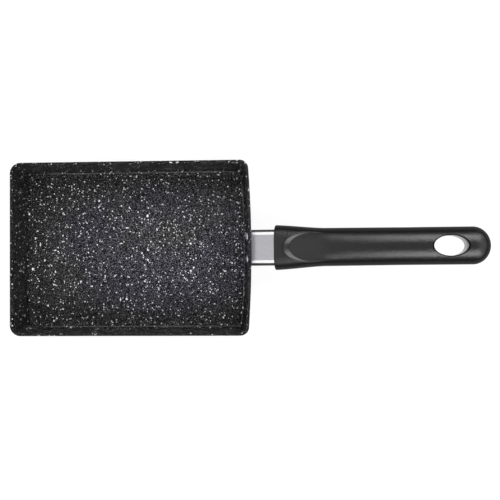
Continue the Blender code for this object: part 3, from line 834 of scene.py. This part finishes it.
def granite_coating(group):
    """Near-black non-stick coating with grey grain and scattered pale stone flecks."""
    made, nodes, inputs, place = new_finish("granite coating")
    spot = nodes.mapped(place, scale=FLECK_SCALE)
    x, _, height = nodes.axes(place)

    # The floor's middle is greyer than its edge, as painted light and shade, with a painted cool reflection
    # there, in cool and neutral clouds
    oval = nodes.mapped(place, location=PAINTED_LIGHT_SHIFT, scale=PAINTED_LIGHT_SCALE)
    painted_light = nodes.spread(nodes.vector("LENGTH", oval), *PAINTED_LIGHT_BY_REACH)
    cloud = nodes.spread(nodes.noise(place, 14.0, 3.0, 0.55), *COOL_BY_CLOUD)
    cool = nodes.product(cloud, nodes.spread(painted_light, *COOL_BY_PAINTED_LIGHT))
    ground = nodes.blend(cool, opaque(0.0026, 0.0026, 0.0025), opaque(0.0027, 0.0026, 0.0034))
    grey = nodes.blend(cool, opaque(0.480, 0.482, 0.470), opaque(0.480, 0.466, 0.590))

    # Dust, thinned towards the floor's edge and near the far end as painted shade, and denser up the walls
    dust, tone = flecks(nodes, group, spot, DUST)
    by_painted_light = nodes.spread(painted_light, *DUST_BY_PAINTED_LIGHT)
    by_height = nodes.spread(height, *DUST_BY_HEIGHT)
    by_wall_shade = nodes.spread(x, *DUST_BY_WALL_SHADE)
    dust = nodes.product(dust, nodes.math("POWER", tone, DUST_TONE_POWER), by_painted_light, by_height, by_wall_shade)
    colour = nodes.blend(dust, ground, grey)

    # A broken pale line along the foot of the walls, a painted highlight on the foot's rounding
    foot = nodes.product(nodes.spread(height, *PAINTED_FOOT_HIGHLIGHT_START), nodes.spread(height, *PAINTED_FOOT_HIGHLIGHT_END))
    foot = nodes.product(foot, nodes.spread(x, *PAINTED_FOOT_HIGHLIGHT_BY_X))
    patchy = nodes.spread(nodes.noise(place, 90.0, 2.0, 0.6), *PAINTED_FOOT_HIGHLIGHT_BY_PATCH)
    colour = nodes.blend(nodes.product(foot, patchy), colour, opaque(0.28, 0.28, 0.295))

    # Pale stone
    chunks, tone = flecks(nodes, group, spot, CHUNKS)
    chunks = nodes.product(chunks, nodes.spread(tone, *CHUNKS_BY_TONE))
    chips, tone = flecks(nodes, group, spot, CHIPS)
    chips = nodes.product(chips, nodes.spread(tone, *CHIPS_BY_TONE))
    stone = nodes.product(nodes.math("MAXIMUM", chunks, chips), nodes.spread(height, *STONE_BY_HEIGHT))
    colour = nodes.blend(stone, colour, opaque(0.95, 0.95, 0.97))

    nodes.join(colour, inputs["Base Color"])
    inputs["Specular IOR Level"].default_value = 0.08
    skin = nodes.noise(place, 1100.0, 2.0, 0.6)
    nodes.join(nodes.spread(skin, 0.3, 0.7, 0.34, 0.52), inputs["Roughness"])
    nodes.join(nodes.bump(skin, 0.9, 0.00030), inputs["Normal"])
    return made


def outer_coating(group):
    """Black heat-proof coating on the outside, finely textured."""
    made, nodes, inputs, place = new_finish("outer coating")
    cloud = nodes.noise(place, 30.0, 3.0, 0.55)
    base = nodes.blend(cloud, opaque(0.007, 0.007, 0.007), opaque(0.012, 0.012, 0.013))
    dust, tone = flecks(nodes, group, place, OUTER_DUST)
    share = nodes.product(dust, nodes.spread(tone, 0.2, 1.0, 0.05, 0.5))
    nodes.join(nodes.blend(share, base, opaque(0.16, 0.16, 0.17)), inputs["Base Color"])
    inputs["Specular IOR Level"].default_value = 0.32
    skin = nodes.noise(place, 1200.0, 2.0, 0.6)
    nodes.join(nodes.spread(skin, 0.3, 0.7, 0.38, 0.54), inputs["Roughness"])
    nodes.join(nodes.bump(skin, 0.5, 0.00015), inputs["Normal"])
    return made


# The hang hole's rolled edge, where a painted dark outline is drawn as painted shade, by reach from its
# centre in half lengths of the hole
DARK_OUTLINE_START = (0.985, 1.0)
DARK_OUTLINE_END = (1.115, 1.075)


def black_moulding():
    """Black thermoset moulding, glossy under a fine sparked grain, with the hang hole's rolled edge painted
    darker and dull as a painted dark outline.
    """
    made, nodes, inputs, place = new_finish("black moulding")
    cloud = nodes.noise(place, 60.0, 3.0, 0.6)
    colour = nodes.blend(cloud, opaque(0.0055, 0.0055, 0.0055), opaque(0.0078, 0.0078, 0.0080))
    centre = spine(HANDLE_LENGTH - HOLE_FROM_END)[0]
    across_hole = (1.0 / HOLE_HALF_LENGTH, 1.0 / HOLE_HALF_WIDTH, 0.0)
    around = nodes.mapped(place, location=(-centre / HOLE_HALF_LENGTH, 0.0, 0.0), scale=across_hole)
    reach = nodes.vector("LENGTH", around)
    # Painted shade: a dark outline round the hang hole
    edge = nodes.product(nodes.spread(reach, *DARK_OUTLINE_START), nodes.spread(reach, *DARK_OUTLINE_END))
    nodes.join(nodes.blend(edge, colour, opaque(0.003, 0.003, 0.003)), inputs["Base Color"])
    inputs["IOR"].default_value = 1.50
    nodes.join(nodes.spread(edge, 0.0, 1.0, 0.5, 0.03), inputs["Specular IOR Level"])
    mottle = nodes.noise(place, 420.0, 4.0, 0.75)
    drift = nodes.spread(cloud, 0.3, 0.7, -0.02, 0.02)
    nodes.join(nodes.math("ADD", nodes.spread(mottle, 0.35, 0.65, 0.07, 0.23), drift), inputs["Roughness"])
    nodes.join(nodes.bump(mottle, 1.0, 0.00016), inputs["Normal"])
    return made


# Fades of the sleeve, by distance from its middle line and by X, in metres
BRUSH_SCALE = (0.012, 1.0, 1.0)
# Painted highlight on the bends, painted light beside the wall and a painted dark reflection down the sides
PAINTED_HIGHLIGHT_START = (0.0092, 0.0098)
PAINTED_HIGHLIGHT_END = (0.0120, 0.0113)
PAINTED_LIGHT_BY_WALL = (0.0945, 0.0905)
PAINTED_DARK_SIDE_START = (0.0116, 0.0121)


def brushed_stainless():
    """Stainless sheet brushed along the handle."""
    made, nodes, inputs, place = new_finish("brushed stainless")
    drawn = nodes.mapped(place, rotation=(0.0, HANDLE_RISE, 0.0), scale=BRUSH_SCALE)
    lines = nodes.noise(drawn, 5200.0, 2.0, 0.6)
    broad = nodes.noise(drawn, 900.0, 2.0, 0.6)
    dull = opaque(0.44, 0.44, 0.463)
    bright = opaque(0.98, 0.98, 0.99)
    colour = nodes.blend(nodes.spread(lines, 0.3, 0.7), opaque(0.44, 0.44, 0.459), opaque(0.55, 0.55, 0.573))
    colour = nodes.blend(nodes.spread(broad, 0.35, 0.65, 0.0, 0.5), colour, dull)
    x, y, _ = nodes.axes(place)
    across = nodes.math("ABSOLUTE", y)

    # Painted highlight where the sheet bends, painted light beside the wall, and a painted dark reflection
    # down the sides
    bend = nodes.product(nodes.spread(across, *PAINTED_HIGHLIGHT_START), nodes.spread(across, *PAINTED_HIGHLIGHT_END))
    colour = nodes.blend(bend, colour, bright)
    colour = nodes.blend(nodes.spread(x, *PAINTED_LIGHT_BY_WALL), colour, bright)
    colour = nodes.blend(nodes.spread(across, *PAINTED_DARK_SIDE_START), colour, opaque(0.16, 0.16, 0.168))
    nodes.join(colour, inputs["Base Color"])
    inputs["Metallic"].default_value = 1.0
    nodes.join(nodes.spread(lines, 0.25, 0.75, 0.30, 0.40), inputs["Roughness"])
    nodes.join(nodes.bump(lines, 0.6, 0.00004), inputs["Normal"])
    return made


def plain_metal(name, dark, light, smoothest, roughest):
    made, nodes, inputs, place = new_finish(name)
    cloud = nodes.noise(place, 260.0, 3.0, 0.6)
    grain = nodes.noise(place, 2200.0, 2.0, 0.6)
    nodes.join(nodes.blend(nodes.spread(cloud, 0.3, 0.7), dark, light), inputs["Base Color"])
    inputs["Metallic"].default_value = 1.0
    nodes.join(nodes.spread(grain, 0.3, 0.7, smoothest, roughest), inputs["Roughness"])
    nodes.join(nodes.bump(grain, 0.12, 0.00003), inputs["Normal"])
    return made


def dress(piece, *finishes):
    for item in finishes:
        piece.data.materials.append(item)


def dress_node(name, finish):
    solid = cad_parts[name]
    for item in solid.material_slots:
        item.material = finish


# Studio

# The white floor, a hair under the pad, and the bright spot that the hang hole's wall mirrors
FLOOR_SIZE = 6.0
FLOOR_DROP = 0.0001
FLOOR_GREY = opaque(0.16, 0.16, 0.16)
FLOOR_SEEN = 0.88
SPOT_X = 0.245
SPOT_SQUEEZE = 2.2
SPOT_FADE = (0.032, 0.028, 0.13, 0.8)

# Fades of the world's brightness, by the X, Y and Z of a direction of length 1
OVERHEAD = (0.25, 0.90, 0.13, 0.58)
BEYOND = ((-0.31, -0.36, 0.0, 0.54), (0.5, 0.8))
SKIRT = ((0.92, 0.70, 0.0, 1.9), (0.42, 0.72), (-0.24, -0.18), (0.2, 0.4))
HANDLE_GLINT = ((0.36, 0.62), (0.15, 0.45, 0.0, 0.9))

# The long softboxes beside the pan
STRIP_REACH = (-0.15, 1.40)
STRIP_WIDTH = 0.86
STRIP_ASIDE = 0.97
STRIP_HEIGHT = 1.53
STRIP_TILT = 1.50


def make_floor():
    bm = bmesh.new()
    lowered = Matrix.Translation((0.0, 0.0, -FLOOR_DROP))
    bmesh.ops.create_grid(bm, x_segments=2, y_segments=2, size=FLOOR_SIZE, matrix=lowered)
    floor = finished(bm, "floor")
    made = bpy.data.materials.new("white sweep")
    nodes = emptied(made)
    cloth = nodes.add("ShaderNodeBsdfDiffuse")
    cloth.inputs["Color"].default_value = FLOOR_GREY
    glow = nodes.add("ShaderNodeEmission")
    path = nodes.add("ShaderNodeLightPath").outputs
    seen = nodes.product(path["Is Camera Ray"], FLOOR_SEEN)
    place = nodes.add("ShaderNodeTexCoord").outputs["Object"]
    under = nodes.mapped(place, location=(-SPOT_X, 0.0, 0.0), scale=(1.0, SPOT_SQUEEZE, 1.0))
    level = nodes.spread(nodes.vector("LENGTH", under), *SPOT_FADE)
    mirrored = nodes.product(nodes.math("MAXIMUM", path["Is Glossy Ray"], path["Is Transmission Ray"]), level)
    nodes.join(nodes.math("MAXIMUM", seen, mirrored), glow.inputs["Strength"])
    both = nodes.add("ShaderNodeAddShader")
    nodes.join(cloth.outputs[0], both.inputs[0])
    nodes.join(glow.outputs[0], both.inputs[1])
    output = nodes.add("ShaderNodeOutputMaterial")
    nodes.join(both.outputs[0], output.inputs[0])
    dress(floor, made)


def make_world():
    """A dim room, dark round the camera overhead and brighter beyond it."""
    world = bpy.data.worlds.new("studio")
    bpy.context.scene.world = world
    nodes = emptied(world)
    x, y, z = nodes.axes(nodes.add("ShaderNodeTexCoord").outputs["Generated"])
    aside = nodes.math("ABSOLUTE", y)
    mirrored = nodes.add("ShaderNodeLightPath").outputs["Is Glossy Ray"]

    def glow(values, zones):
        return nodes.product(*(nodes.spread(value, *zone) for value, zone in zip(values, zones)))

    level = nodes.spread(z, *OVERHEAD)
    level = nodes.math("ADD", level, glow((x, z), BEYOND))
    level = nodes.math("ADD", level, glow((aside, aside, x, z), SKIRT))
    level = nodes.math("ADD", level, nodes.product(glow((x, z), HANDLE_GLINT), mirrored))
    sky = nodes.add("ShaderNodeBackground")
    sky.inputs["Color"].default_value = opaque(1.0, 1.0, 1.01)
    nodes.join(level, sky.inputs["Strength"])
    output = nodes.add("ShaderNodeOutputWorld")
    nodes.join(sky.outputs[0], output.inputs[0])


def strip_light(name, side, brightness):
    """A long softbox beside the pan, turned towards it."""
    start, end = STRIP_REACH
    data = bpy.data.lights.new(name, "AREA")
    data.shape = "RECTANGLE"
    data.size = end - start
    data.size_y = STRIP_WIDTH
    data.energy = brightness * math.pi * (end - start) * STRIP_WIDTH
    strip = bpy.data.objects.new(name, data)
    bpy.context.scene.collection.objects.link(strip)
    back = Vector((0.0, side * STRIP_ASIDE, STRIP_TILT)).normalized()
    along = Vector((1.0, 0.0, 0.0))
    turn = Matrix((along, back.cross(along), back)).transposed().to_4x4()
    strip.matrix_world = Matrix.Translation(((start + end) / 2, side * STRIP_ASIDE, STRIP_HEIGHT)) @ turn


def make_lights():
    strip_light("upper strip", 1, 3.3)
    strip_light("lower strip", -1, 3.6)


def make_camera():
    data = bpy.data.cameras.new("camera")
    data.lens = CAMERA_LENS
    data.sensor_width = 36.0
    camera = bpy.data.objects.new("camera", data)
    bpy.context.scene.collection.objects.link(camera)
    back = (CAMERA_PLACE - CAMERA_AIM).normalized()
    side = Vector((math.sin(CAMERA_ROLL), math.cos(CAMERA_ROLL), 0.0)).cross(back).normalized()
    turn = Matrix((side, back.cross(side), back)).transposed().to_4x4()
    camera.matrix_world = Matrix.Translation(CAMERA_PLACE) @ turn
    bpy.context.scene.camera = camera


def main():
    bpy.context.scene.view_settings.view_transform = "Standard"
    group = fleck_group()
    dress(make_pan(), granite_coating(group), outer_coating(group))
    dress(make_grip(), black_moulding())
    dress(make_sleeve(), brushed_stainless())
    aluminium = plain_metal("rivet aluminium", opaque(0.72, 0.72, 0.73), opaque(0.86, 0.86, 0.87), 0.32, 0.45)
    dress(make_rivet("rivet_left", -1, "bracket_rivet_left"), aluminium)
    dress(make_rivet("rivet_right", 1, "bracket_rivet_right"), aluminium)
    zinc = plain_metal("zinc plated steel", opaque(0.48, 0.49, 0.51), opaque(0.60, 0.61, 0.63), 0.28, 0.42)
    for name in ("handle_bracket", "bracket_nut", "handle_screw", "flat_washer", "spring_washer"):
        dress_node(name, zinc)
    make_floor()
    make_world()
    make_lights()
    make_camera()


main()
